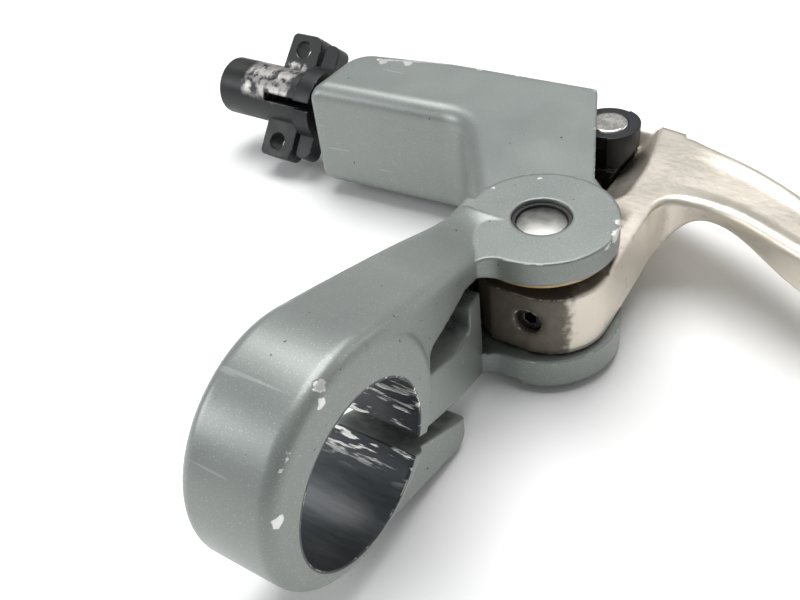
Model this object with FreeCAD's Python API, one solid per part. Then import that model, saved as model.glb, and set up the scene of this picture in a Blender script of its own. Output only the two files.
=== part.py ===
"""Right-hand brake lever for a flat handlebar, with its bracket, pivot, cable hook and adjuster.

Frame, in millimetres: the origin is the middle of the handlebar clamp bore.  +X runs along the
bar, outboard, towards the tip of the lever.  +Y runs forward, from the bar to the lever pivot.
+Z runs up, along the lever pivot.
"""

import FreeCAD, Part
import math
import os

from FreeCAD import Vector

# ---- clamp on the bar ----
BAR_R = 11.1
CLAMP_WIDTH = 12.4
RING_WALL = 4.2
RING_RISE = 2.15
RING_EDGE = 1.8
SLIT_WIDTH = 2.6
SLIT_TILT = 25.5
SLIT_START = (9.5, -5.3)
TAB_REACH = 22.0
TAB_THICK = 6.2
BOLT_R = 2.5
BOLT_HEAD_R = 4.0
BOLT_HEAD_H = 2.6
BOLT_LAND = 2.2
BOLT_DEEP = 5.6
BOLT_AWAY = 7.8
WASHER_THICK = 0.6

# ---- arm from the clamp to the fork ----
ARM_START = 4.0
ARM_END = 33.0
ARM_TOP_START = 16.8
ARM_RIDGE_DROP = 8.4
WEB_X = 1.9
ARM_EDGE = 1.6
ARM_UNDER_TILT = 27.3
POCKET_DEPTH = 5.2

# ---- fork and pivot ----
PIVOT_X = 5.2
PIVOT_Y = 44.4
EAR_R = 10.4
EAR_TOP = 5.13
EAR_UNDER = 1.65
LOWER_EAR_TOP = -11.55
LOWER_EAR_BOTTOM = -16.0
LOWER_EAR_EXTRA = 0.4
PIN_R = 3.5
BUSH_WALL = 0.6
FIT = 0.05
GAP = 0.3

# ---- cable housing ----
HOUSING_TOP = 4.5
HOUSING_BOTTOM = -15.3
HOUSING_END = -49.0
CAVITY_ROOF = 3.0
CAVITY_FLOOR = -12.5
CABLE_Y = 72.3
CABLE_Z = -5.4
CAVITY_HALF = 5.9

# ---- lever ----
LEVER_TOP = -1.0
BOSS_TOP = -1.4
LEVER_BOTTOM = -11.0
BOSS_R = 9.3
BOSS_FRONT = 8.9
ARM_INNER_X = -4.0
ARM_OUTER_X = 15.2
BOSS_CORNER_R = 8.0
ARM_TIP_Y = 81.9
BLADE_ROOT_Y = 64.4
BLADE_ROOT = (12.0, 0.7, 14.6, 4.6)
TIP_X = 96.8
TIP_DROP = 22.9
TIP_R = 3.6
GRUB_R = 2.0
GRUB_X = 7.4
GRUB_Z = -5.8
SPRING_R = 5.7
SPRING_WIRE = 0.4
SPRING_TURNS = 2
SPRING_PITCH = 0.9
SPRING_START = 200.0
SPRING_LEG = 2.0
SPRING_LEG_TURN = 0.02
REACH_R = 2.0
REACH_Y = 57.0
REACH_Z = -6.2
REACH_LENGTH = 9.0

# ---- cable hook and its carrier ----
HOOK_X = 1.8
HOOK_Y = 74.2
HOOK_TOP = 2.6
CARRIER_FLOOR = -8.3
CARRIER_TOP = -2.9
CARRIER_WIDTH = 2.8
SCOOP_FLOOR = -4.4
SCOOP_X = 9.9
SCOOP_FRONT_X = 7.6
HOOK_PIN_R = 2.2
HOOK_HEAD_R = 3.0
HOOK_HEAD_H = 1.0
RING_PLATE_R = 4.6
RING_PLATE_THICK = 2.0
EYE_R = 3.9
EYE_THICK = 3.0
BUSH_R = 2.8
NIPPLE_R = 3.6
NIPPLE_WALL = 0.9
NIPPLE_REACH = 8.4
NIPPLE_DROP = 7.0
LEVERAGE_R = 1.5
LEVERAGE_Z = -6.3
BLOCK_Y = 62.6
BLOCK_LENGTH = 4.2
CARRIER_GAP = 2.4

# ---- barrel adjuster ----
BARREL_R = 5.4
BARREL_END = -75.9
BARREL_STEP = -57.0
THREAD_R = 4.93
THREAD_FIT = 0.07
BARREL_TIP = -41.0
SOCKET_R = 3.05
SOCKET_DEPTH = 12.0
CABLE_HOLE_R = 1.2
SLOT_WIDTH = 1.5
SLOT_ANGLE = 155.0
WING_ANGLE = 47.6
WING_R = 12.0
WING_LENGTH = 7.8
WING_THICK = 4.0
WING_HOLE_R = 1.65
WING_HOLE_AT = 8.9
NUT_THICK = 3.6
NUT_R = 6.8
INSERT_WALL = 1.3
INSERT_LENGTH = 11.0
INSERT_FLANGE = 0.9

X_AXIS = Vector(1, 0, 0)
Y_AXIS = Vector(0, 1, 0)
Z_AXIS = Vector(0, 0, 1)
RING_R = BAR_R + RING_WALL
HALF = CLAMP_WIDTH / 2
PIVOT = Vector(PIVOT_X, PIVOT_Y, 0)
HOOK = Vector(HOOK_X, HOOK_Y, 0)


def cylinder(radius, base, axis, length):
    return Part.makeCylinder(radius, length, base, axis)


def upright(radius, centre, low, high):
    return cylinder(radius, Vector(centre.x, centre.y, low), Z_AXIS, high - low)


def along_x(radius, x_low, x_high, y=CABLE_Y, z=CABLE_Z):
    return cylinder(radius, Vector(x_low, y, z), X_AXIS, x_high - x_low)


def box(low, high):
    corner = Vector(*low)
    size = Vector(*high) - corner
    return Part.makeBox(size.x, size.y, size.z, corner)


def ring(outer, inner, centre, low, high):
    return upright(outer, centre, low, high).cut(upright(inner, centre, low - 1, high + 1))


def outline(corners):
    """A closed wire of straight runs; each corner is (point, radius) and is rounded by an arc."""
    count = len(corners)
    cuts = []
    for i, (point, radius) in enumerate(corners):
        back = (corners[i - 1][0] - point).normalize()
        ahead = (corners[(i + 1) % count][0] - point).normalize()
        if radius == 0:
            cuts.append((point, None, point))
            continue
        half_angle = back.getAngle(ahead) / 2
        reach = radius / math.tan(half_angle)
        middle = (back + ahead).normalize()
        bulge = radius / math.sin(half_angle) - radius
        cuts.append((point + back * reach, point + middle * bulge, point + ahead * reach))
    edges = []
    for i, (start, middle, end) in enumerate(cuts):
        if middle is not None:
            edges.append(Part.Arc(start, middle, end).toShape())
        edges.append(Part.LineSegment(end, cuts[(i + 1) % count][0]).toShape())
    return Part.Wire(edges)


def plan(corners, low, high):
    """A prism of constant height over an outline given as (x, y, radius) rows."""
    wire = outline([(Vector(x, y, low), radius) for x, y, radius in corners])
    return Part.Face(wire).extrude(Vector(0, 0, high - low))


def side(corners, x_low, x_high):
    """A prism across the bar over an outline given as (y, z, radius) rows."""
    wire = outline([(Vector(x_low, y, z), radius) for y, z, radius in corners])
    return Part.Face(wire).extrude(Vector(x_high - x_low, 0, 0))


def fillet(shape, radius, wanted):
    edges = [edge for edge in shape.Edges if wanted(edge)]
    return shape.makeFillet(radius, edges)


def middle_of(edge):
    return edge.valueAt((edge.FirstParameter + edge.LastParameter) / 2)


# ---- bracket ----
def under_arm():
    """The space under the arm, whose slanted face is also the upper jaw of the slit."""
    start_y, start_z = SLIT_START
    start_z += SLIT_WIDTH / 2
    reach = (start_z - LOWER_EAR_BOTTOM) / math.tan(math.radians(ARM_UNDER_TILT))
    deep = LOWER_EAR_BOTTOM - 9
    return side([(0, start_z, 0), (start_y, start_z, 0), (start_y + reach, LOWER_EAR_BOTTOM, 0),
                 (start_y + reach, deep, 0), (0, deep, 0)], -HALF - 1, HALF + 1)


def arm_section(t):
    """The arm's section at a share t of the way from the clamp to the fork, rounded on top."""
    y = ARM_START + (ARM_END - ARM_START) * t
    out = HALF - (HALF - WEB_X) * min(t, 1.0) ** 1.6
    top_out = ARM_TOP_START + (EAR_TOP - ARM_TOP_START) * min(t, 1.0) ** 1.25
    top_in = ARM_TOP_START - ARM_RIDGE_DROP * t
    low = LOWER_EAR_BOTTOM
    corners = [(-HALF, low, 0), (out, low, 0), (out, top_out, ARM_EDGE), (-HALF, top_in, ARM_EDGE)]
    return outline([(Vector(x, y, z), radius) for x, z, radius in corners])


def clamp_arm():
    sections = [arm_section(t) for t in (0, 0.25, 0.5, 0.75, 1.0, 1.3)]
    return Part.makeLoft(sections, True, False, False, 3).cut(under_arm())


def clamp_ring():
    body = cylinder(RING_R, Vector(-HALF, 0, RING_RISE), X_AXIS, CLAMP_WIDTH)
    return fillet(body, RING_EDGE, lambda e: e.Curve.TypeId == "Part::GeomCircle")


def slit_line(distance):
    """A point on the middle of the slit, a distance out from the bore."""
    angle = math.radians(SLIT_TILT)
    return SLIT_START[0] + distance * math.cos(angle), SLIT_START[1] - distance * math.sin(angle)


def clamp_tab():
    """The lower jaw, which carries on from the ring under the slit."""
    low = RING_RISE - RING_R
    reach = (TAB_REACH - SLIT_START[0]) / math.cos(math.radians(SLIT_TILT))
    end_z = slit_line(reach)[1]
    corners = [(0, low, 0), (TAB_REACH, end_z - TAB_THICK, 2.4), (TAB_REACH, end_z, 0), (0, -1.0, 0)]
    tab = side(corners, -HALF, HALF - 0.9)
    return fillet(tab, 0.9, lambda e: middle_of(e).y > TAB_REACH - 2 and e.BoundBox.XLength < 0.1
                  and e.Length < 8)


def ear(centre, radius, low, high):
    """One fork ear, with a hollow round where it leaves the web."""
    disc = upright(radius, centre, low, high)
    web = box((-HALF, ARM_END - 3, low), (WEB_X, PIVOT_Y, high))
    joined = disc.fuse(web).removeSplitter()
    return fillet(joined, 3.0, lambda e: abs(middle_of(e).x - WEB_X) < 0.2
                  and abs(middle_of(e).z - (low + high) / 2) < 0.2
                  and middle_of(e).y > ARM_END)


def housing():
    """The cable housing: a rounded box over the cable line, open at its outboard end."""
    corners = [
        (-HALF, ARM_END + 2, 0), (PIVOT_X, ARM_END + 4, 0),
        (PIVOT_X + 5.7, PIVOT_Y + 8.7, 0), (PIVOT_X + 2.1, PIVOT_Y + 12.2, 0),
        (-2.0, CABLE_Y + 6.0, 0), (-2.8, CABLE_Y + 7.6, 0), (-5.5, CABLE_Y + 9.6, 0),
        (-30.0, CABLE_Y + 8.6, 40.0), (HOUSING_END, CABLE_Y + 5.5, 5.6),
        (HOUSING_END, CABLE_Y - 9.7, 1.2), (-19.0, CABLE_Y - 7.7, 7.0),
        (-HALF, PIVOT_Y + 1.6, 6.0),
    ]
    body = plan(corners, HOUSING_BOTTOM, HOUSING_TOP)
    return fillet(body, 2.8, lambda e: abs(middle_of(e).x + 33) < 8 and middle_of(e).y < CABLE_Y)


def lever_room():
    """The fork gap and the open mouth of the housing, where the lever and its hook swing."""
    swing = upright(BOSS_R + 0.5, PIVOT, LOWER_EAR_TOP, EAR_UNDER)
    gap = plan([(-1.0, ARM_END - 0.5, 1.0), (60, ARM_END - 0.5, 0), (60, 100, 0), (-6.4, 100, 0),
                (-6.4, 60, 3.0), (-4.5, 50, 3.0), (-4.5, 40, 3.0)], LOWER_EAR_TOP, EAR_UNDER)
    mouth = plan([(60, 62, 0), (60, 100, 0), (-6.4, 100, 0), (-6.4, CABLE_Y + 6.9, 1.0),
                  (-12.4, CABLE_Y + 6.9, 1.5), (-12.4, CABLE_Y - 8.0, 3.0), (-6.4, 60, 3.0),
                  (2.0, 58, 0)], CAVITY_FLOOR, CAVITY_ROOF)
    return swing.fuse([gap, mouth])


def cable_room():
    """The hollow along the cable, and the window under it for fitting a new cable."""
    low, high = CABLE_Y - CAVITY_HALF, CABLE_Y + CAVITY_HALF
    bottom, top = CABLE_Z - CAVITY_HALF, CABLE_Z + CAVITY_HALF + 0.6
    inner_end = HOUSING_END + INSERT_LENGTH
    hollow = side([(low, bottom, 1.5), (high, bottom, 1.5), (high, top, 1.5), (low, top, 1.5)],
                  inner_end, -6.0)
    window = plan([(inner_end + 4, CABLE_Y - 3, 2.5), (-14, CABLE_Y - 3, 2.5), (-14, CABLE_Y + 3, 2.5),
                   (inner_end + 4, CABLE_Y + 3, 2.5)], HOUSING_BOTTOM - 1, bottom + 1)
    bore = along_x(THREAD_R + THREAD_FIT + INSERT_WALL, HOUSING_END - 1, inner_end)
    return hollow.fuse([window, bore])


def arm_pocket():
    corners = [(15.2, 1.2, 0.8), (15.9, 4.7, 1.4), (27.4, 4.4, 1.2), (ARM_END + 1, EAR_UNDER, 0),
               (ARM_END + 1, -0.4, 0), (28.6, -0.4, 0.6), (28.3, -3.6, 1.0), (23.0, -2.4, 2.0)]
    return side(corners, HALF - 1.2 - POCKET_DEPTH, HALF + 2)


def slit():
    y, z = SLIT_START
    cut = box((-HALF - 1, -4.0, -SLIT_WIDTH / 2), (HALF + 1, 30.0, SLIT_WIDTH / 2))
    cut.rotate(Vector(0, 0, 0), X_AXIS, -SLIT_TILT)
    cut.translate(Vector(0, y, z))
    return cut


def bolt_cylinder(radius, low, high):
    """A cylinder on the clamp bolt's axis, which crosses the slit squarely."""
    y, z = slit_line(BOLT_AWAY)
    angle = math.radians(SLIT_TILT)
    axis = Vector(0, math.sin(angle), math.cos(angle))
    return cylinder(radius, Vector(-0.5, y, z) + axis * low, axis, high - low)


def bolt_seat():
    """The height of the counterbore's floor in the lower jaw, measured along the bolt."""
    return -SLIT_WIDTH / 2 - BOLT_LAND


def bracket():
    body = clamp_ring().fuse([clamp_arm(), clamp_tab(), housing()])
    body = body.fuse(ear(PIVOT, EAR_R, EAR_UNDER - 0.5, EAR_TOP))
    lower = PIVOT + Vector(LOWER_EAR_EXTRA, 0, 0)
    body = body.fuse(ear(lower, EAR_R + LOWER_EAR_EXTRA, LOWER_EAR_BOTTOM, LOWER_EAR_TOP + 0.5))
    bore = along_x(BAR_R, -HALF - 1, HALF + 1, 0, 0)
    bush_bore = upright(PIN_R + FIT + BUSH_WALL, PIVOT, LOWER_EAR_BOTTOM - 1, EAR_TOP + 1)
    seat = bolt_seat()
    holes = [bolt_cylinder(BOLT_HEAD_R + GAP, seat - 12, seat),
             bolt_cylinder(BOLT_R + GAP, seat - 1, 0),
             bolt_cylinder(BOLT_R + FIT, -1, BOLT_DEEP + 0.5),
             cylinder(REACH_R + FIT, Vector(-20, REACH_Y, REACH_Z), X_AXIS, 18),
             spring_leg(SPRING_WIRE + 0.1, LOWER_EAR_TOP - SPRING_LEG - 0.5, LOWER_EAR_TOP + 1)]
    cuts = [bore, slit(), bush_bore, lever_room(), cable_room(), arm_pocket()] + holes
    return body.cut(cuts).removeSplitter()


def clamp_bolt():
    seat = bolt_seat()
    head = bolt_cylinder(BOLT_HEAD_R, seat - WASHER_THICK - BOLT_HEAD_H, seat - WASHER_THICK)
    shank = bolt_cylinder(BOLT_R, seat - WASHER_THICK, BOLT_DEEP)
    socket = bolt_cylinder(2.0, seat - WASHER_THICK - BOLT_HEAD_H, seat - WASHER_THICK - 1.2)
    return head.fuse(shank).cut(socket).removeSplitter()


def clamp_washer():
    seat = bolt_seat()
    disc = bolt_cylinder(BOLT_HEAD_R + 0.15, seat - WASHER_THICK, seat)
    return disc.cut(bolt_cylinder(BOLT_R + 0.05, seat - 5, seat + 5))


# ---- pivot ----
def upper_pivot_bush():
    return ring(PIN_R + FIT + BUSH_WALL, PIN_R + FIT, PIVOT, EAR_UNDER, EAR_TOP - 0.55)


def lower_pivot_bush():
    return ring(PIN_R + FIT + BUSH_WALL, PIN_R + FIT, PIVOT, LOWER_EAR_BOTTOM, LOWER_EAR_TOP)


def thrust_washer():
    return ring(BOSS_R + 0.3, PIN_R + FIT, PIVOT, EAR_UNDER - 1.0, EAR_UNDER)


def spacer_washer():
    return ring(PIN_R + 2.6, PIN_R + FIT, PIVOT, BOSS_TOP + FIT, EAR_UNDER - 1.0)


def lower_washer():
    return ring(PIN_R + 1.3, PIN_R + FIT, PIVOT, LOWER_EAR_TOP, LEVER_BOTTOM - FIT)


def pivot_pin():
    low = LOWER_EAR_BOTTOM - 1.5
    high = EAR_TOP - 0.5
    pin = upright(PIN_R, PIVOT, low, high)
    dome_r = 14.0
    dome = Part.makeSphere(dome_r, Vector(PIVOT_X, PIVOT_Y, high - dome_r))
    pin = pin.common(dome.fuse(upright(PIN_R + 1, PIVOT, low - 1, high - 2)))
    groove = ring(PIN_R + 1, PIN_R - 0.6, PIVOT, low + 0.4, low + 1.2)
    return pin.cut(groove)


def pivot_clip():
    low = LOWER_EAR_BOTTOM - 1.1
    clip = ring(PIN_R + 1.6, PIN_R - 0.6, PIVOT, low, low + 0.8)
    return clip.cut(box((PIVOT_X - 1.2, PIVOT_Y, low - 1), (PIVOT_X + 1.2, PIVOT_Y + 9, low + 2)))


def pin_grub_screw():
    start = PIVOT_Y - BOSS_FRONT + 0.9
    end = PIVOT_Y - PIN_R
    body = cylinder(GRUB_R - FIT, Vector(GRUB_X, start, GRUB_Z), Y_AXIS, end - start)
    return body.cut(hex_socket(Vector(GRUB_X, start, GRUB_Z), Y_AXIS, 1.0, 1.6))


def hex_socket(centre, axis, radius, depth):
    """A hexagonal key socket cut inwards along an axis of the frame."""
    start = centre - axis * 0.5
    side_way = Z_AXIS if axis != Z_AXIS else X_AXIS
    points = []
    for i in range(7):
        turn = FreeCAD.Rotation(axis, 60 * i)
        points.append(start + turn.multVec(side_way) * radius)
    return Part.Face(Part.makePolygon(points)).extrude(axis * (depth + 0.5))


def spring_point(turns):
    """A point of the return spring's coil, a number of turns up from its lower end."""
    angle = math.radians(SPRING_START + 360 * turns)
    height = LEVER_BOTTOM + 0.6 + SPRING_PITCH * turns
    return PIVOT + Vector(SPRING_R * math.cos(angle), SPRING_R * math.sin(angle), height)


def spring_leg(radius, low, high):
    """The spring's lower leg, just in from the coil's end, or the hole in the ear that takes it."""
    return upright(radius, spring_point(SPRING_LEG_TURN), low, high)


def return_spring():
    helix = Part.makeLongHelix(SPRING_PITCH, SPRING_PITCH * SPRING_TURNS, SPRING_R)
    helix.rotate(Vector(0, 0, 0), Z_AXIS, SPRING_START)
    helix.translate(PIVOT + Vector(0, 0, spring_point(0).z))
    edge = helix.Edges[0]
    tangent = edge.tangentAt(edge.FirstParameter)
    profile = Part.Wire(Part.makeCircle(SPRING_WIRE, spring_point(0), tangent))
    coil = Part.Wire(helix.Edges).makePipeShell([profile], True, True)
    leg_top = spring_point(SPRING_LEG_TURN).z
    return coil.fuse(spring_leg(SPRING_WIRE, LOWER_EAR_TOP - SPRING_LEG, leg_top))


# ---- lever ----
def blade_section(front_x, front_drop, rear_x, rear_drop, lift, dish):
    """A rounded section across the blade, with its rear underside lifted and its top dished."""
    front = Vector(front_x, ARM_TIP_Y - front_drop, LEVER_TOP)
    rear = Vector(rear_x, BLADE_ROOT_Y - rear_drop, LEVER_TOP)
    across = front - rear
    sag = Vector(0, 0, -dish)
    low_front = Vector(front.x, front.y, LEVER_BOTTOM)
    low_rear = Vector(rear.x, rear.y, LEVER_BOTTOM + lift)
    corners = [(rear, 1.3), (rear + across * 0.28 + sag, 3.0), (rear + across * 0.72 + sag, 3.0),
               (front, 1.3), (low_front, 2.4), (low_rear, 0.8)]
    return outline(corners)


def blade():
    """The finger blade: wide and wedge-shaped at its root, slimmer and rounder at its tip."""
    root = blade_section(*BLADE_ROOT, 0.2, 0.02)
    stations = [
        (15.0, 1.5, 15.4, 1.9, 1.6, 0.1),
        (18.6, 2.7, 17.2, 0.4, 4.4, 0.4),
        (24.0, 4.6, 21.0, 0.0, 7.0, 0.7),
        (30.0, 7.7, 26.5, 1.1, 6.4, 0.8),
        (37.0, 12.3, 33.5, 4.3, 4.2, 0.8),
        (45.0, 17.3, 42.2, 7.6, 2.4, 0.7),
        (54.0, 20.8, 52.0, 10.2, 1.4, 0.6),
        (64.0, 23.1, 63.0, 11.8, 1.1, 0.5),
        (75.0, 23.8, 75.0, 12.3, 1.0, 0.4),
        (86.0, 22.7, 87.0, 11.0, 1.0, 0.3),
        (95.5, 20.1, 97.6, 8.2, 1.0, 0.2),
    ]
    sections = [root] + [blade_section(*row) for row in stations]
    body = Part.makeLoft(sections, True, False, False, 3)
    end = Vector(TIP_X, ARM_TIP_Y - TIP_DROP, 0)
    tip = upright(TIP_R, end, LEVER_BOTTOM, LEVER_TOP)
    tip = fillet(tip, 1.6, lambda e: e.Curve.TypeId == "Part::GeomCircle")
    return body.fuse(tip)


def lever_arm():
    """The flat arm from the boss to the blade's root, where it meets the blade face to face."""
    front_x, front_drop, rear_x, rear_drop = BLADE_ROOT
    corners = [(ARM_INNER_X, PIVOT_Y, 0), (ARM_INNER_X, ARM_TIP_Y, 1.5), (8.0, ARM_TIP_Y, 14.0),
               (front_x, ARM_TIP_Y - front_drop, 0), (rear_x, BLADE_ROOT_Y - rear_drop, 0),
               (ARM_OUTER_X, PIVOT_Y, 0)]
    return plan(corners, LEVER_BOTTOM, LEVER_TOP)


def lever_boss():
    """The boss round the pin: flat towards the bar, with one broad corner on its outboard side."""
    boss = upright(BOSS_R, PIVOT, LEVER_BOTTOM, BOSS_TOP)
    flat_y = PIVOT_Y - BOSS_FRONT
    front = box((-30, flat_y, LEVER_BOTTOM - 1), (30, PIVOT_Y + 30, LEVER_TOP + 1))
    corner = plan([(PIVOT_X - 4.0, flat_y, 0.8), (ARM_OUTER_X, flat_y, BOSS_CORNER_R),
                   (ARM_OUTER_X, PIVOT_Y, 0), (PIVOT_X - 4.0, PIVOT_Y, 0)], LEVER_BOTTOM, BOSS_TOP)
    return boss.common(front).fuse(corner)


def seat_outline(wall, crease, front_x, front, corner, height):
    """The outline of the carrier's seat at one height, open towards the cable."""
    rear = BLOCK_Y - 4.2
    corners = [(-20, rear, 0), (wall, rear, corner), (crease, HOOK_Y - 3.7, 20), (front_x, front, 0),
               (HOOK_X, front, 0), (HOOK_X, 100, 0), (-20, 100, 0)]
    return outline([(Vector(x, y, height), radius) for x, y, radius in corners])


def carrier_channel():
    """The scooped seat for the hook carrier, open towards the cable, with sloping sides."""
    wall = HOOK_X + CARRIER_WIDTH + 0.5
    deep = plan([(-20, BLOCK_Y - 4.2, 0), (wall, BLOCK_Y - 4.2, 1.5), (wall, ARM_TIP_Y - 2.0, 1.5),
                 (HOOK_X, ARM_TIP_Y - 2.0, 0), (HOOK_X, 100, 0), (-20, 100, 0)],
                CARRIER_FLOOR, SCOOP_FLOOR + 0.1)
    low = seat_outline(wall + 0.2, wall + 0.3, wall + 0.1, ARM_TIP_Y - 2.0, 1.5, SCOOP_FLOOR)
    high = seat_outline(SCOOP_X + 0.3, SCOOP_X, SCOOP_FRONT_X, ARM_TIP_Y + 0.4, 5.0, LEVER_TOP)
    scoop = Part.makeLoft([low, high], True, True)
    above = Part.Face(high).extrude(Vector(0, 0, 2))
    far = ARM_TIP_Y - 4.4
    lock = Vector(HOOK_X, far, 0)
    slot = slot_plan(1.6, lock, 2.6, LEVER_BOTTOM - 1, CARRIER_FLOOR + 1)
    head = slot_plan(2.9, lock, 2.6, LEVER_BOTTOM - 1, LEVER_BOTTOM + 1.5)
    return deep.fuse([scoop, above, slot, head])


def slot_plan(radius, centre, travel, low, high):
    """A slot for a screw that slides a distance back from its rest position."""
    near = centre - Vector(0, travel, 0)
    middle = box((centre.x - radius, near.y, low), (centre.x + radius, centre.y, high))
    return upright(radius, centre, low, high).fuse([upright(radius, near, low, high), middle])


def lever_blade():
    body = lever_arm().fuse([lever_boss(), blade()])
    cuts = [
        upright(PIN_R + FIT, PIVOT, LEVER_BOTTOM - 1, LEVER_TOP + 1),
        upright(BOSS_R + 0.4, PIVOT, BOSS_TOP, LEVER_TOP + 1),
        ring(SPRING_R + 1.1, SPRING_R - 1.0, PIVOT, LEVER_BOTTOM - 1,
             spring_point(SPRING_TURNS).z + SPRING_WIRE + 0.2),
        cylinder(GRUB_R, Vector(GRUB_X, PIVOT_Y - BOSS_FRONT - 1, GRUB_Z), Y_AXIS, BOSS_FRONT - 1),
        carrier_channel(),
    ]
    return body.cut(cuts).removeSplitter()


def reach_screw():
    end = ARM_INNER_X - GAP
    body = cylinder(REACH_R, Vector(end - REACH_LENGTH, REACH_Y, REACH_Z), X_AXIS, REACH_LENGTH)
    return body.cut(hex_socket(Vector(end - REACH_LENGTH, REACH_Y, REACH_Z), X_AXIS, 1.1, 2.0))


# ---- cable hook and its carrier ----
def leverage_block():
    block = box((HOOK_X - 2.2, BLOCK_Y, CARRIER_FLOOR),
                (HOOK_X + CARRIER_WIDTH, BLOCK_Y + BLOCK_LENGTH, LEVERAGE_Z + LEVERAGE_R + 1.0))
    top = [e for e in block.Edges if middle_of(e).z > LEVERAGE_Z + LEVERAGE_R + 0.9]
    block = block.makeChamfer(0.8, top)
    return block.cut(cylinder(LEVERAGE_R + FIT, Vector(HOOK_X, BLOCK_Y - 1, LEVERAGE_Z), Y_AXIS, 20))


def leverage_screw():
    head_end = BLOCK_Y - 0.1
    tip = HOOK_Y - 2.2
    head = cylinder(1.9, Vector(HOOK_X, head_end - 2.0, LEVERAGE_Z), Y_AXIS, 2.0)
    shank = cylinder(LEVERAGE_R, Vector(HOOK_X, head_end, LEVERAGE_Z), Y_AXIS, tip - head_end)
    return head.fuse(shank).cut(hex_socket(Vector(HOOK_X, head_end - 2.0, LEVERAGE_Z), Y_AXIS, 1.0, 1.2))


def hook_carrier():
    """The sliding carrier: a foot on the lever, a web and a ring over the hook's eye."""
    start = BLOCK_Y + BLOCK_LENGTH + CARRIER_GAP
    foot = box((HOOK_X - 1.6, start, CARRIER_FLOOR), (HOOK_X + 4.2, HOOK_Y + 4.4, CARRIER_TOP))
    post = upright(EYE_R - 0.5, HOOK, CARRIER_FLOOR, CARRIER_TOP)
    web = ring(RING_PLATE_R + 0.3, EYE_R + 0.25, HOOK, CARRIER_TOP, HOOK_TOP)
    web = web.common(box((HOOK_X + 1.6, 0, CARRIER_TOP - 1), (HOOK_X + 9, 200, HOOK_TOP + 1)))
    plate = upright(RING_PLATE_R, HOOK, HOOK_TOP - RING_PLATE_THICK, HOOK_TOP)
    foot_web = upright(RING_PLATE_R + 0.3, HOOK, CARRIER_TOP - 1.5, CARRIER_TOP)
    foot_web = foot_web.common(box((HOOK_X, 0, CARRIER_FLOOR), (HOOK_X + 4.2, 200, HOOK_TOP)))
    body = foot.fuse([post, web, plate, foot_web])
    side_x = HOOK_X + CARRIER_WIDTH
    taper = Part.Face(Part.makePolygon([Vector(side_x, 0, CARRIER_FLOOR - 1),
                                        Vector(side_x, 0, SCOOP_FLOOR + 0.8),
                                        Vector(side_x + 2.3, 0, SCOOP_FLOOR + 3.8),
                                        Vector(side_x + 9, 0, SCOOP_FLOOR + 3.8),
                                        Vector(side_x + 9, 0, CARRIER_FLOOR - 1),
                                        Vector(side_x, 0, CARRIER_FLOOR - 1)]))
    cuts = [
        taper.extrude(Vector(0, 200, 0)),
        upright(HOOK_PIN_R + FIT, HOOK, -4.4, HOOK_TOP + 1),
        upright(HOOK_HEAD_R + FIT, HOOK, HOOK_TOP - HOOK_HEAD_H, HOOK_TOP + 1),
        cylinder(LEVERAGE_R + THREAD_FIT, Vector(HOOK_X, start - 1, LEVERAGE_Z), Y_AXIS,
                 HOOK_Y - start + 1),
        upright(1.4, Vector(HOOK_X, ARM_TIP_Y - 4.4, 0), CARRIER_FLOOR - 1, -5.4),
    ]
    return body.cut(cuts).removeSplitter()


def carrier_lock_screw():
    centre = Vector(HOOK_X, ARM_TIP_Y - 4.4, 0)
    head = upright(2.6, centre, LEVER_BOTTOM + 0.1, LEVER_BOTTOM + 1.4)
    shank = upright(1.4, centre, LEVER_BOTTOM + 1.4, -5.5)
    socket = hex_socket(Vector(centre.x, centre.y, LEVER_BOTTOM + 0.1), Z_AXIS, 1.1, 1.0)
    return head.fuse(shank).cut(socket)


def hook_pin():
    head = upright(HOOK_HEAD_R, HOOK, HOOK_TOP - HOOK_HEAD_H, HOOK_TOP + 0.15)
    rim = [e for e in head.Edges if middle_of(e).z > HOOK_TOP and e.Curve.TypeId == "Part::GeomCircle"]
    head = head.makeFillet(0.4, rim)
    return head.fuse(upright(HOOK_PIN_R, HOOK, -4.4, HOOK_TOP - HOOK_HEAD_H))


def eye_top():
    return HOOK_TOP - RING_PLATE_THICK - 0.15


def hook_bush():
    top = eye_top()
    return ring(BUSH_R, HOOK_PIN_R + FIT, HOOK, top - EYE_THICK, top)


def nipple_centre():
    angle = math.radians(188)
    return HOOK + Vector(NIPPLE_REACH * math.cos(angle), NIPPLE_REACH * math.sin(angle), 0)


def cable_hook():
    """The hook: an eye on the pin and an open cup for the barrel end of the cable."""
    top = eye_top()
    seat = nipple_centre()
    cup_r = NIPPLE_R + NIPPLE_WALL
    eye = upright(EYE_R, HOOK, top - EYE_THICK, top)
    cup = upright(cup_r, seat, CABLE_Z - NIPPLE_DROP / 2 + 1.2, top)
    neck = box((seat.x + 1, HOOK_Y - 3.6, top - EYE_THICK), (HOOK_X - 1, HOOK_Y + 2.6, top))
    body = eye.fuse([cup, neck])
    cuts = [
        upright(BUSH_R + FIT, HOOK, -20, 20),
        upright(NIPPLE_R, seat, CABLE_Z - NIPPLE_DROP / 2 + 2.4, 20),
        box((seat.x - 9, seat.y - 0.9, CABLE_Z - 0.9), (seat.x, seat.y + 0.9, 20)),
    ]
    return body.cut(cuts).removeSplitter()


# ---- barrel adjuster ----
def radial_slot(x_low, x_high, reach):
    """The slot that lets the cable drop into the adjuster from one side."""
    cut = box((x_low, 0, -SLOT_WIDTH / 2), (x_high, reach, SLOT_WIDTH / 2))
    cut.rotate(Vector(0, 0, 0), X_AXIS, SLOT_ANGLE)
    cut.translate(Vector(0, CABLE_Y, CABLE_Z))
    return cut


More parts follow.
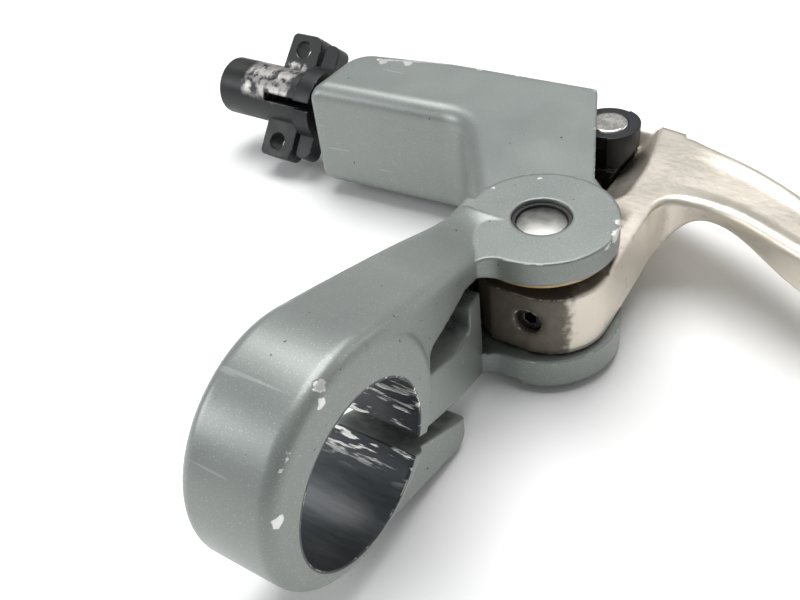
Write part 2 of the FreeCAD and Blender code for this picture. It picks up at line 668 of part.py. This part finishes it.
def wings(x_low, x_high, reach, thick):
    """Two flat thumb wings on opposite sides of the cable line."""
    top = reach - 0.2
    corners = [(x_low, 0, 0), (x_low + 0.5, top, 1.0), (x_high, top, 1.6), (x_high, 0, 0)]
    wire = outline([(Vector(x, r, -thick / 2), radius) for x, r, radius in corners])
    wing = Part.Face(wire).extrude(Vector(0, 0, thick))
    pair = []
    for turn in (WING_ANGLE, WING_ANGLE + 180):
        one = wing.copy()
        one.rotate(Vector(0, 0, 0), X_AXIS, turn)
        one.translate(Vector(0, CABLE_Y, CABLE_Z))
        pair.append(one)
    return pair


def wing_hole(x, turn):
    hole = Part.makeCylinder(WING_HOLE_R, WING_THICK + 4, Vector(x, WING_HOLE_AT, -WING_THICK / 2 - 2))
    hole.rotate(Vector(0, 0, 0), X_AXIS, turn)
    hole.translate(Vector(0, CABLE_Y, CABLE_Z))
    return hole


def barrel_adjuster():
    barrel = along_x(BARREL_R, BARREL_END, BARREL_STEP)
    rim = [e for e in barrel.Edges if e.Curve.TypeId == "Part::GeomCircle" and middle_of(e).x < BARREL_END + 1]
    barrel = barrel.makeFillet(0.8, rim)
    thread = along_x(THREAD_R, BARREL_STEP, BARREL_TIP)
    low = BARREL_STEP - WING_LENGTH + 0.4
    body = barrel.fuse([thread] + wings(low, BARREL_STEP, WING_R, WING_THICK))
    hole_x = low + WING_LENGTH * 0.47
    cuts = [
        along_x(SOCKET_R, BARREL_END - 1, BARREL_END + SOCKET_DEPTH),
        along_x(CABLE_HOLE_R, BARREL_END, BARREL_TIP + 1),
        radial_slot(BARREL_END + SOCKET_DEPTH - 0.5, BARREL_TIP + 1, 20),
        wing_hole(hole_x, WING_ANGLE),
        wing_hole(hole_x, WING_ANGLE + 180),
    ]
    return body.cut(cuts).removeSplitter()


def lock_nut():
    low = BARREL_STEP + 0.5
    high = low + NUT_THICK
    body = along_x(NUT_R, low, high).fuse(wings(low, high, WING_R - 1.0, WING_THICK - 0.6))
    cuts = [along_x(THREAD_R + THREAD_FIT, low - 1, high + 1), radial_slot(low - 1, high + 1, 20)]
    return body.cut(cuts).removeSplitter()


def barrel_insert():
    outer = THREAD_R + THREAD_FIT + INSERT_WALL
    sleeve = along_x(outer, HOUSING_END, HOUSING_END + INSERT_LENGTH)
    flange = along_x(outer + 0.9, HOUSING_END - INSERT_FLANGE, HOUSING_END)
    bore = along_x(THREAD_R + THREAD_FIT, HOUSING_END - 5, HOUSING_END + INSERT_LENGTH + 1)
    return sleeve.fuse(flange).cut(bore).removeSplitter()


NODES = {
    "bracket": bracket,
    "clamp_bolt": clamp_bolt,
    "clamp_washer": clamp_washer,
    "barrel_insert": barrel_insert,
    "upper_pivot_bush": upper_pivot_bush,
    "lower_pivot_bush": lower_pivot_bush,
    "thrust_washer": thrust_washer,
    "spacer_washer": spacer_washer,
    "lower_washer": lower_washer,
    "return_spring": return_spring,
    "reach_screw": reach_screw,
    "lever_blade": lever_blade,
    "pivot_pin": pivot_pin,
    "pivot_clip": pivot_clip,
    "pin_grub_screw": pin_grub_screw,
    "leverage_block": leverage_block,
    "leverage_screw": leverage_screw,
    "hook_carrier": hook_carrier,
    "carrier_lock_screw": carrier_lock_screw,
    "hook_pin": hook_pin,
    "hook_bush": hook_bush,
    "cable_hook": cable_hook,
    "barrel_adjuster": barrel_adjuster,
    "lock_nut": lock_nut,
}

os.makedirs("parts", exist_ok=True)
for node_name, make in NODES.items():
    solid = make()
    solid.exportStep("parts/" + node_name + ".step")
    print(node_name, "valid", solid.isValid(), "solids", len(solid.Solids), "volume", round(solid.Volume, 1))
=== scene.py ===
import bpy
from mathutils import Matrix, Vector


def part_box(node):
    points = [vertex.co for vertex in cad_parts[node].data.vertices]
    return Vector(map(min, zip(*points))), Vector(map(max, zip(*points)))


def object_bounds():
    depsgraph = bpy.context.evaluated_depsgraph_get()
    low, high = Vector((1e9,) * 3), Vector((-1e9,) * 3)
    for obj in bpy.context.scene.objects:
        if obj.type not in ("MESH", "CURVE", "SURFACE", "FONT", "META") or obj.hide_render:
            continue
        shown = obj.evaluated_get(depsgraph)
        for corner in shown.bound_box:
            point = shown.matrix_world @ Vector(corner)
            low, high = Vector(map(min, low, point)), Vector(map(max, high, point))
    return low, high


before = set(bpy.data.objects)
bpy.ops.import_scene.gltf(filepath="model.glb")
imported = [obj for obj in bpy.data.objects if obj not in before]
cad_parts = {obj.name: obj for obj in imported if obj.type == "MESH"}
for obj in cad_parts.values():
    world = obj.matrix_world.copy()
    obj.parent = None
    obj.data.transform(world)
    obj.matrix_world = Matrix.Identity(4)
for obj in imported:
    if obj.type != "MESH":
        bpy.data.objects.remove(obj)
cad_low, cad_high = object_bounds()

camera_place = (0.05283, -0.04924, 0.08078)
forward = Vector((-0.472, 0.602, -0.644)).normalized()
right = Vector((0.833, 0.543, -0.103))
right = (right - forward * right.dot(forward)).normalized()
up = right.cross(forward)
attitude = Matrix((right, up, -forward)).transposed().to_4x4()
lens = bpy.data.cameras.new("table_camera")
lens.sensor_width = 36.0
lens.lens = 42.92
lens.clip_start = 0.001
camera = bpy.data.objects.new("table_camera", lens)
camera.matrix_world = Matrix.Translation(camera_place) @ attitude
bpy.context.scene.collection.objects.link(camera)
bpy.context.scene.camera = camera
bpy.context.scene.view_settings.view_transform = "Standard"


def softbox(name, place, target, size, power, tint=(1, 1, 1)):
    """A rectangular softbox at a place, turned to face a target."""
    light = bpy.data.lights.new(name, "AREA")
    light.shape = "RECTANGLE"
    light.size, light.size_y = size
    light.energy = power
    light.color = tint
    lamp = bpy.data.objects.new(name, light)
    lamp.location = place
    lamp.rotation_mode = "QUATERNION"
    lamp.rotation_quaternion = (Vector(target) - Vector(place)).to_track_quat("-Z", "Y")
    bpy.context.scene.collection.objects.link(lamp)


middle = (cad_low + cad_high) / 2
cool, warm = (0.97, 0.985, 1.0), (1.0, 0.98, 0.95)
softbox("ceiling_softbox", (-0.12, 0.22, 0.72), middle, (0.62, 0.62), 6.6)
softbox("window_softbox", (-0.62, -0.46, 0.40), middle, (0.42, 0.30), 2.2, cool)
softbox("lever_softbox", (0.45, 0.55, 0.35), middle, (0.5, 0.3), 0.7, warm)

room = bpy.data.worlds.new("pale_room")
room.use_nodes = True
room_light = room.node_tree.nodes["Background"]
room_light.inputs["Color"].default_value = (0.95, 0.975, 1.0, 1)
room_light.inputs["Strength"].default_value = 0.30
bpy.context.scene.world = room


def node(tree, kind, inputs=None, **settings):
    """A shader node with its settings, and each input set or linked."""
    made = tree.nodes.new(kind)
    for name, value in settings.items():
        setattr(made, name, value)
    for socket, value in (inputs or {}).items():
        target = made.inputs[socket]
        if isinstance(value, bpy.types.NodeSocket):
            tree.links.new(value, target)
        else:
            target.default_value = value
    return made


def new_finish(name):
    """A finish with its node tree, its surface shader and the piece's own coordinates."""
    finish = bpy.data.materials.new(name)
    finish.use_nodes = True
    tree = finish.node_tree
    spot = node(tree, "ShaderNodeTexCoord").outputs["Object"]
    return finish, tree, tree.nodes["Principled BSDF"], spot


def grain(tree, spot, size, detail=3.0, roughness=0.55):
    """Noise from 0 to 1 whose blotches are about one size across, in metres."""
    made = node(tree, "ShaderNodeTexNoise",
                {"Vector": spot, "Scale": 1 / size, "Detail": detail, "Roughness": roughness})
    return made.outputs["Fac"]


def blended(tree, share, under, over):
    """One colour laid over another by a share."""
    made = node(tree, "ShaderNodeMix", {0: share, 6: under, 7: over}, data_type="RGBA")
    return made.outputs[2]


table_reach = 3.0
table_corners = [(-table_reach, -table_reach, cad_low.z), (table_reach, -table_reach, cad_low.z),
                 (table_reach, table_reach, cad_low.z), (-table_reach, table_reach, cad_low.z)]
table_mesh = bpy.data.meshes.new("table")
table_mesh.from_pydata(table_corners, [], [(0, 1, 2, 3)])
table = bpy.data.objects.new("table", table_mesh)
bpy.context.scene.collection.objects.link(table)
paper, tree, shader, spot = new_finish("white_table")
tone = blended(tree, grain(tree, spot, 0.09), (0.93, 0.93, 0.92, 1), (0.96, 0.96, 0.955, 1))
tree.links.new(tone, shader.inputs["Base Color"])
shader.inputs["Roughness"].default_value = 0.55
shader.inputs["Specular IOR Level"].default_value = 0.25
table_mesh.materials.append(paper)

# ---- bracket ----
# One alloy forging: the ring round the bar, the arm, the two fork ears and the cable housing.  It
# is painted a metallic slate grey, chipped to bare metal on its edges, and bare and streaked where
# the bar has sat in the bore.
bar_radius = 0.0111
paint_chips = (
    # x, y, z and the reach of each chip, in metres
    (0.0062, -0.0033, 0.0169, 0.0011),
    (0.0062, -0.0040, 0.0150, 0.0007),
    (0.0062, -0.0112, 0.0122, 0.0006),
    (0.0062, -0.0131, 0.0070, 0.0008),
    (0.0060, -0.0145, 0.0080, 0.0005),
    (0.0151, 0.0476, 0.0051, 0.0009),
    (0.0158, 0.0450, 0.0049, 0.0010),
    (0.0160, 0.0425, 0.0047, 0.0008),
    (0.0140, 0.0382, 0.0050, 0.0005),
    (-0.0039, 0.0477, 0.0051, 0.0004),
    (0.0008, 0.0526, 0.0051, 0.0004),
    (-0.0027, 0.0797, 0.0045, 0.0008),
    (0.0022, 0.0690, 0.0045, 0.0007),
    (0.0076, 0.0575, 0.0045, 0.0006),
    (-0.0240, 0.0790, 0.0045, 0.0006),
    (-0.0171, 0.0800, 0.0045, 0.0007),
    (-0.0368, 0.0762, 0.0045, 0.0009),
    (-0.0412, 0.0750, 0.0045, 0.0009),
)
worn_lines = (
    # where a worn line starts and ends, and how wide it is, in metres
    ((0.0062, -0.0086, 0.0140), (0.0062, -0.0112, 0.0118), 0.00030),
    ((0.0061, -0.0145, 0.0098), (0.0061, -0.0158, 0.0048), 0.00028),
    ((-0.0425, 0.0755, 0.0044), (-0.0300, 0.0790, 0.0044), 0.00040),
    ((-0.0280, 0.0795, 0.0044), (-0.0050, 0.0816, 0.0044), 0.00035),
    ((0.0152, 0.0480, 0.0050), (0.0162, 0.0410, 0.0048), 0.00035),
    ((0.0112, 0.0378, 0.0005), (0.0146, 0.0388, 0.0015), 0.00018),
)


def ramp(tree, value, low, high, out_low=0.0, out_high=1.0):
    """A value brought from one range to another, and held inside it."""
    made = node(tree, "ShaderNodeMapRange",
                {"Value": value, "From Min": low, "From Max": high,
                 "To Min": out_low, "To Max": out_high},
                interpolation_type="SMOOTHSTEP")
    return made.outputs["Result"]


def sums(tree, operation, first, second=0.0):
    """Two values or sockets joined by one sum."""
    return node(tree, "ShaderNodeMath", {0: first, 1: second}, operation=operation).outputs[0]


def vector_sum(tree, operation, inputs, output="Vector"):
    """One sum on vectors, and the output of it that is wanted."""
    return node(tree, "ShaderNodeVectorMath", inputs, operation=operation).outputs[output]


def axis_distance(tree, first, second):
    """How far each place is from an axis, from its two offsets square to that axis."""
    first_squared = sums(tree, "MULTIPLY", first, first)
    second_squared = sums(tree, "MULTIPLY", second, second)
    return sums(tree, "SQRT", sums(tree, "ADD", first_squared, second_squared))


def patchy(tree, share, spot, size, low, high):
    """A share kept only in blotches about one size across, in metres."""
    return sums(tree, "MULTIPLY", share, ramp(tree, grain(tree, spot, size), low, high))


def streaked(tree, spot, scale, detail, rotation=(0.0, 0.0, 0.0)):
    """Noise drawn out along one axis, by how many blotches there are to the metre on each."""
    drawn_out = node(tree, "ShaderNodeMapping",
                     {"Vector": spot, "Rotation": rotation, "Scale": scale}).outputs["Vector"]
    made = node(tree, "ShaderNodeTexNoise", {"Vector": drawn_out, "Scale": 1.0, "Detail": detail})
    return made.outputs["Fac"]


def rounded(tree, radius):
    """Normals that soften the edges, as tumbling does after machining or casting."""
    return node(tree, "ShaderNodeBevel", {"Radius": radius}, samples=8).outputs["Normal"]


def edge_wear(tree, soft_normal, reach):
    """How far each place is an outward edge, from 0 on a face to about 1 on a sharp edge."""
    face = node(tree, "ShaderNodeNewGeometry").outputs["Normal"]
    turn = vector_sum(tree, "DOT_PRODUCT", {0: soft_normal, 1: face}, "Value")
    bend = ramp(tree, turn, 0.995, 0.8)
    open_air = node(tree, "ShaderNodeAmbientOcclusion", {"Distance": reach}, samples=8)
    return sums(tree, "MULTIPLY", bend, ramp(tree, open_air.outputs["AO"], 0.62, 0.85))


def shut_in_shade(tree, reach):
    """How far each place is shut in by its neighbours, the mask for painted shade in corners."""
    shut_in = node(tree, "ShaderNodeAmbientOcclusion", {"Distance": reach}, samples=8)
    return ramp(tree, shut_in.outputs["AO"], 0.75, 0.2)


def pressed(tree, height, depth, normal):
    """Normals with a small relief in them, its depth in metres."""
    made = node(tree, "ShaderNodeBump", {"Height": height, "Distance": depth, "Normal": normal})
    return made.outputs["Normal"]


def ragged_spot(tree, spot, place, reach):
    """A spot of one size round a place, where the coordinates are already ragged."""
    away = vector_sum(tree, "DISTANCE", {0: spot, 1: place}, "Value")
    return ramp(tree, away, reach, reach * 0.8)


def ragged_line(tree, spot, start, end, width):
    """A line of one width between two places, where the coordinates are already ragged."""
    start, end = Vector(start), Vector(end)
    along, length = (end - start).normalized(), (end - start).length
    offset = vector_sum(tree, "SUBTRACT", {0: spot, 1: start})
    run = vector_sum(tree, "DOT_PRODUCT", {0: offset, 1: along}, "Value")
    run = node(tree, "ShaderNodeClamp", {"Value": run, "Min": 0.0, "Max": length})
    foot = vector_sum(tree, "SCALE", {0: along, "Scale": run.outputs["Result"]})
    away = vector_sum(tree, "DISTANCE", {0: offset, 1: foot}, "Value")
    return ramp(tree, away, width, width * 0.7)


def ragged_place(tree, spot, size, swing):
    """The coordinates shifted about by noise, which makes the outline of a chip ragged."""
    swirl = node(tree, "ShaderNodeTexNoise", {"Vector": spot, "Scale": 1 / size, "Detail": 2.0})
    centred = vector_sum(tree, "SUBTRACT", {0: swirl.outputs["Color"], 1: (0.5, 0.5, 0.5)})
    shift = vector_sum(tree, "SCALE", {0: centred, "Scale": swing})
    return vector_sum(tree, "ADD", {0: spot, 1: shift})


slate_paint, tree, shader, spot = new_finish("slate_paint")
soft = rounded(tree, 0.0007)

# the paint, with its flakes, painted shade in its corners, dark specks and faint scratches
mottle = grain(tree, spot, 0.012)
flake = grain(tree, spot, 0.00018, 1.0)
paint = blended(tree, mottle, (0.222, 0.243, 0.230, 1), (0.285, 0.308, 0.290, 1))
flake_share = ramp(tree, flake, 0.58, 0.75, 0.0, 0.35)
paint = blended(tree, flake_share, paint, (0.52, 0.55, 0.53, 1))
# painted shade: the paint darkened in blotches where neighbours shut it in
shaded_corners = patchy(tree, shut_in_shade(tree, 0.006), spot, 0.003, 0.3, 0.65)
paint = blended(tree, sums(tree, "MULTIPLY", shaded_corners, 0.75), paint, (0.045, 0.045, 0.042, 1))
specks = ramp(tree, grain(tree, spot, 0.0011, 2.0), 0.735, 0.75)
paint = blended(tree, specks, paint, (0.07, 0.075, 0.075, 1))
scratch = ramp(tree, streaked(tree, spot, (40, 900, 900), 1.0, (0.3, 0.2, 0.5)), 0.765, 0.785)
paint = blended(tree, sums(tree, "MULTIPLY", scratch, 0.35), paint, (0.50, 0.53, 0.53, 1))

# bare metal on the edges, at the chips and along the worn lines
ragged = ragged_place(tree, spot, 0.0007, 0.0011)
worn = patchy(tree, edge_wear(tree, rounded(tree, 0.00035), 0.004), spot, 0.0024, 0.56, 0.62)
for x, y, z, reach in paint_chips:
    worn = sums(tree, "MAXIMUM", worn, ragged_spot(tree, ragged, (x, y, z), reach))
for start, end, width in worn_lines:
    worn = sums(tree, "MAXIMUM", worn, ragged_line(tree, ragged, start, end, width))

# the bore, darkened with painted shade and streaked along the bar, and flaked in its upper front
# quarter
axes = node(tree, "ShaderNodeSeparateXYZ", {"Vector": spot}).outputs
from_bar = axis_distance(tree, axes["Y"], axes["Z"])
in_bore = ramp(tree, from_bar, bar_radius + 0.00035, bar_radius + 0.0002)
streaks = streaked(tree, spot, (260, 1500, 1500), 3.0)
# painted shade: the bore's colour made near-black, with real streaks along the bar
bore_shade = blended(tree, streaks, (0.016, 0.019, 0.022, 1), (0.065, 0.073, 0.080, 1))
above_slit = sums(tree, "ADD", axes["Z"], sums(tree, "MULTIPLY", axes["Y"], 0.6))
above_slit = ramp(tree, above_slit, -0.0065, -0.0018)
forward_side = ramp(tree, axes["Y"], 0.001, 0.004)
flaked = ramp(tree, streaks, 0.47, 0.39)
flaked = sums(tree, "MULTIPLY", flaked, sums(tree, "MULTIPLY", above_slit, forward_side))
flaked = sums(tree, "MULTIPLY", flaked, in_bore)
paint = blended(tree, in_bore, paint, bore_shade)
worn = sums(tree, "MAXIMUM", worn, flaked)

bare = blended(tree, flake, (0.62, 0.62, 0.60, 1), (0.86, 0.85, 0.82, 1))
tree.links.new(blended(tree, worn, paint, bare), shader.inputs["Base Color"])
tree.links.new(ramp(tree, worn, 0.0, 1.0, 0.45, 0.95), shader.inputs["Metallic"])
gloss = ramp(tree, mottle, 0.3, 0.7, 0.38, 0.46)
gloss = sums(tree, "ADD", gloss, sums(tree, "MULTIPLY", shaded_corners, 0.2))
tree.links.new(gloss, shader.inputs["Roughness"])
shader.inputs["Coat Weight"].default_value = 0.25
shader.inputs["Coat Roughness"].default_value = 0.22
paint_relief, streak_relief, chip_relief = 0.000015, 0.00004, -0.00008
relief = pressed(tree, grain(tree, spot, 0.0009), paint_relief, soft)
relief = pressed(tree, sums(tree, "MULTIPLY", streaks, in_bore), streak_relief, relief)
relief = pressed(tree, worn, chip_relief, relief)
tree.links.new(relief, shader.inputs["Normal"])


def dress(finish, *names):
    """A finish put on every slot of the named pieces that come from the drawing."""
    for name in names:
        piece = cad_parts[name]
        if not piece.material_slots:
            piece.data.materials.append(finish)
        for place in piece.material_slots:
            place.link = "OBJECT"
            place.material = finish


dress(slate_paint, "bracket")

# ---- clamp bolt, reach screw, clip and the two lock screws ----
# Small steel parts with a dark oil-blackened skin, the screws with hexagon sockets.  They close the
# ring on the bar, set how far the lever rests from it, and keep the pin and the carrier in place.
blackened_steel, tree, shader, spot = new_finish("blackened_steel")
soft = rounded(tree, 0.00025)
smoky = grain(tree, spot, 0.0015)
skin = blended(tree, smoky, (0.030, 0.030, 0.031, 1), (0.085, 0.083, 0.080, 1))
rub = patchy(tree, edge_wear(tree, soft, 0.002), spot, 0.0006, 0.4, 0.6)
skin = blended(tree, rub, skin, (0.42, 0.41, 0.39, 1))
tree.links.new(skin, shader.inputs["Base Color"])
shader.inputs["Metallic"].default_value = 0.85
tree.links.new(ramp(tree, smoky, 0.3, 0.7, 0.32, 0.48), shader.inputs["Roughness"])
fine_relief = 0.00002
relief = pressed(tree, grain(tree, spot, 0.0003), fine_relief, soft)
tree.links.new(relief, shader.inputs["Normal"])
dress(blackened_steel, "clamp_bolt", "reach_screw", "pivot_clip", "pin_grub_screw",
      "carrier_lock_screw")

# ---- pivot pin, washers and spring ----
# Turned steel: the pin that the lever swings on, with a domed end in the upper ear, the washers
# under the clamp's bolt and between the ears, and the coiled return spring.
turned_steel, tree, shader, spot = new_finish("turned_steel")
soft = rounded(tree, 0.0003)
worn_film = grain(tree, spot, 0.0022)
metal = blended(tree, worn_film, (0.20, 0.20, 0.188, 1), (0.36, 0.355, 0.335, 1))
# painted shade: the steel darkened in blotches where neighbours shut it in
corner_shade = patchy(tree, shut_in_shade(tree, 0.003), spot, 0.001, 0.3, 0.6)
metal = blended(tree, sums(tree, "MULTIPLY", corner_shade, 0.7), metal, (0.06, 0.05, 0.04, 1))
tree.links.new(metal, shader.inputs["Base Color"])
shader.inputs["Metallic"].default_value = 0.95
tree.links.new(ramp(tree, worn_film, 0.3, 0.7, 0.28, 0.42), shader.inputs["Roughness"])
turning_relief = 0.000012
rings = streaked(tree, spot, (1800, 1800, 200), 2.0)
tree.links.new(pressed(tree, rings, turning_relief, soft), shader.inputs["Normal"])
dress(turned_steel, "pivot_pin", "clamp_washer", "spacer_washer", "lower_washer", "return_spring")

# ---- hook pin ----
# A polished steel rivet with a domed head, as bright as a mirror on top, in the cable hook's
# carrier.  Its shank runs in the hook's bush.
polished_steel, tree, shader, spot = new_finish("polished_steel")
soft = rounded(tree, 0.0004)
film = grain(tree, spot, 0.0014)
metal = blended(tree, film, (0.66, 0.64, 0.60, 1), (0.86, 0.84, 0.79, 1))
tree.links.new(metal, shader.inputs["Base Color"])
shader.inputs["Metallic"].default_value = 0.95
tree.links.new(ramp(tree, film, 0.3, 0.7, 0.20, 0.32), shader.inputs["Roughness"])
polish_relief = 0.00001
relief = pressed(tree, grain(tree, spot, 0.0004), polish_relief, soft)
tree.links.new(relief, shader.inputs["Normal"])
dress(polished_steel, "hook_pin")

# ---- pivot bushes ----
# Black plastic sleeves pressed into the two ears, so that the steel pin turns on plastic.  Only a
# thin ring of each shows round the pin.
black_plastic, tree, shader, spot = new_finish("black_plastic")
soft = rounded(tree, 0.0002)
dusty = grain(tree, spot, 0.0012)
skin = blended(tree, dusty, (0.012, 0.012, 0.012, 1), (0.030, 0.029, 0.028, 1))
tree.links.new(skin, shader.inputs["Base Color"])
tree.links.new(ramp(tree, dusty, 0.3, 0.7, 0.45, 0.62), shader.inputs["Roughness"])
relief = pressed(tree, grain(tree, spot, 0.00025), fine_relief, soft)
tree.links.new(relief, shader.inputs["Normal"])
dress(black_plastic, "upper_pivot_bush", "lower_pivot_bush")

# ---- lever ----
# A forged alloy finger blade with a full boss round the pin, anodised a pale champagne.  The boss
# is darkened with painted shade where it sits in the fork, and has a painted highlight along its
# upper edge.
pin_low, pin_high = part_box("pivot_pin")
pivot_x = (pin_low.x + pin_high.x) / 2
pivot_y = (pin_low.y + pin_high.y) / 2
unshaded_x, shaded_x = 0.0133, 0.0118
unshaded_radius, shaded_radius = 0.0175, 0.0130
champagne, tree, shader, spot = new_finish("champagne_alloy")
soft = rounded(tree, 0.0012)
satin = grain(tree, spot, 0.010)
metal = blended(tree, satin, (0.66, 0.60, 0.515, 1), (0.80, 0.745, 0.655, 1))
dull_share = ramp(tree, grain(tree, spot, 0.0022), 0.62, 0.72, 0.0, 0.35)
metal = blended(tree, dull_share, metal, (0.38, 0.33, 0.285, 1))

# the painted shade where the boss sits in the fork, its edge ragged, and a painted highlight, the
# bright line on the boss's upper edge
axes = node(tree, "ShaderNodeSeparateXYZ", {"Vector": spot}).outputs
from_pin = axis_distance(tree, sums(tree, "SUBTRACT", axes["X"], pivot_x),
                         sums(tree, "SUBTRACT", axes["Y"], pivot_y))
ragged_fork = ragged_place(tree, spot, 0.0012, 0.0022)
ragged_fork_axes = node(tree, "ShaderNodeSeparateXYZ", {"Vector": ragged_fork}).outputs
near_fork = ramp(tree, ragged_fork_axes["X"], unshaded_x, shaded_x)
near_pin = ramp(tree, from_pin, unshaded_radius, shaded_radius)
near_fork = sums(tree, "MULTIPLY", near_fork, near_pin)
# painted shade: dark brown on the boss where it sits in the fork, lifted at the painted highlight
fork_shade = blended(tree, grain(tree, spot, 0.0016),
                 (0.050, 0.040, 0.030, 1), (0.165, 0.135, 0.105, 1))
# the mask of the painted highlight on the lever's outward edges
lit_edge = patchy(tree, edge_wear(tree, rounded(tree, 0.0005), 0.003), spot, 0.0007, 0.45, 0.55)
fork_shade_share = sums(tree, "MULTIPLY", near_fork, ramp(tree, lit_edge, 0.0, 1.0, 0.93, 0.2))
shaded_lever = blended(tree, fork_shade_share, metal, fork_shade)
# painted shade: the lever darkened in blotches where neighbours shut it in
nook_shade = patchy(tree, shut_in_shade(tree, 0.008), spot, 0.0035, 0.25, 0.65)
shaded_lever = blended(tree, sums(tree, "MULTIPLY", nook_shade, 0.6), shaded_lever, (0.16, 0.115, 0.085, 1))
# painted highlight: the outward edges lightened towards white
shaded_lever = blended(tree, sums(tree, "MULTIPLY", lit_edge, 0.5), shaded_lever, (0.90, 0.88, 0.84, 1))
tree.links.new(shaded_lever, shader.inputs["Base Color"])
tree.links.new(ramp(tree, near_fork, 0.0, 1.0, 0.85, 0.45), shader.inputs["Metallic"])
gloss = ramp(tree, satin, 0.3, 0.7, 0.36, 0.46)
gloss = sums(tree, "ADD", gloss, sums(tree, "MULTIPLY", near_fork, 0.1))
tree.links.new(gloss, shader.inputs["Roughness"])
brushed_relief, forged_relief = 0.000015, 0.00005
brushed = streaked(tree, spot, (90, 2200, 1400), 2.0, (0.0, 0.0, 0.3))
relief = pressed(tree, brushed, brushed_relief, soft)
relief = pressed(tree, grain(tree, spot, 0.0012), forged_relief, relief)
tree.links.new(relief, shader.inputs["Normal"])
dress(champagne, "lever_blade")

# ---- brass thrust washer, insert, screw and bush ----
# Brass parts that rub or are screwed: the washer that shows as a thin golden line under the upper
# ear, the threaded insert in the housing, the leverage screw and the bush inside the hook.
old_brass, tree, shader, spot = new_finish("old_brass")
soft = rounded(tree, 0.00025)
tarnish = grain(tree, spot, 0.0018)
metal = blended(tree, tarnish, (0.32, 0.215, 0.095, 1), (0.60, 0.44, 0.22, 1))
# painted shade: the brass darkened in blotches where neighbours shut it in
corner_shade = patchy(tree, shut_in_shade(tree, 0.003), spot, 0.0009, 0.3, 0.6)
metal = blended(tree, sums(tree, "MULTIPLY", corner_shade, 0.6), metal, (0.07, 0.045, 0.02, 1))
tree.links.new(metal, shader.inputs["Base Color"])
shader.inputs["Metallic"].default_value = 0.9
tree.links.new(ramp(tree, tarnish, 0.3, 0.7, 0.30, 0.46), shader.inputs["Roughness"])
relief = pressed(tree, grain(tree, spot, 0.0003), fine_relief, soft)
tree.links.new(relief, shader.inputs["Normal"])
dress(old_brass, "thrust_washer", "barrel_insert", "leverage_screw", "hook_bush")

# ---- cable hook, its carrier, the leverage block and the lock nut ----
# Black anodised alloy: the carrier that slides along the lever, the stop block in front of it, the
# hook with a ring round the pin and a cup for the cable's end, and the nut behind the adjuster.
black_anodised, tree, shader, spot = new_finish("black_anodised")
soft = rounded(tree, 0.00035)
dyed = grain(tree, spot, 0.004)
skin = blended(tree, dyed, (0.010, 0.011, 0.012, 1), (0.026, 0.028, 0.030, 1))
rub = patchy(tree, edge_wear(tree, soft, 0.002), spot, 0.0009, 0.55, 0.65)
skin = blended(tree, sums(tree, "MULTIPLY", rub, 0.5), skin, (0.35, 0.35, 0.35, 1))
tree.links.new(skin, shader.inputs["Base Color"])
shader.inputs["Metallic"].default_value = 0.35
tree.links.new(ramp(tree, dyed, 0.3, 0.7, 0.36, 0.50), shader.inputs["Roughness"])
relief = pressed(tree, grain(tree, spot, 0.0002), fine_relief, soft)
tree.links.new(relief, shader.inputs["Normal"])
dress(black_anodised, "cable_hook", "hook_carrier", "leverage_block", "lock_nut")

# ---- barrel adjuster ----
# A black anodised screw with a plain barrel for the cable's housing, a slot along it for putting
# the cable in, and two finger wings.  The barrel is rubbed bare on one side of its hub.
hole_low, hole_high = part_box("barrel_insert")
cable_y = (hole_low.y + hole_high.y) / 2
cable_z = (hole_low.z + hole_high.z) / 2
inner_end, inner_full = -0.0588, -0.0597
outer_end, outer_full = -0.0705, -0.0690
barrel_radius, barrel_full = 0.0068, 0.0062
rubbed_black, tree, shader, spot = new_finish("rubbed_black")
soft = rounded(tree, 0.00045)
dyed = grain(tree, spot, 0.004)
skin = blended(tree, dyed, (0.014, 0.015, 0.015, 1), (0.034, 0.036, 0.036, 1))

# the bare patch, held to the barrel's upper side between the wings and its end
ragged = ragged_place(tree, spot, 0.0009, 0.0016)
axes = node(tree, "ShaderNodeSeparateXYZ", {"Vector": ragged}).outputs
upper = ramp(tree, axes["Z"], cable_z + 0.0012, cable_z + 0.0030)
before = ramp(tree, axes["X"], inner_end, inner_full)
behind = ramp(tree, axes["X"], outer_end, outer_full)
facing = ramp(tree, axes["Y"], cable_y + 0.0040, cable_y + 0.0026)
patch = sums(tree, "MULTIPLY", sums(tree, "MULTIPLY", upper, before),
             sums(tree, "MULTIPLY", behind, facing))
off_axis = axis_distance(tree, sums(tree, "SUBTRACT", axes["Y"], cable_y),
                         sums(tree, "SUBTRACT", axes["Z"], cable_z))
patch = sums(tree, "MULTIPLY", patch, ramp(tree, off_axis, barrel_radius, barrel_full))
patch = patchy(tree, patch, spot, 0.0016, 0.36, 0.56)
rub = patchy(tree, edge_wear(tree, soft, 0.002), spot, 0.0012, 0.52, 0.62)
bare_share = sums(tree, "MAXIMUM", patch, sums(tree, "MULTIPLY", rub, 0.5))
skin = blended(tree, bare_share, skin, (0.40, 0.385, 0.37, 1))
tree.links.new(skin, shader.inputs["Base Color"])
tree.links.new(ramp(tree, bare_share, 0.0, 1.0, 0.35, 0.9), shader.inputs["Metallic"])
tree.links.new(ramp(tree, dyed, 0.3, 0.7, 0.36, 0.50), shader.inputs["Roughness"])
rubbed_relief = -0.00005
relief = pressed(tree, grain(tree, spot, 0.0002), fine_relief, soft)
tree.links.new(pressed(tree, bare_share, rubbed_relief, relief), shader.inputs["Normal"])
dress(rubbed_black, "barrel_adjuster")
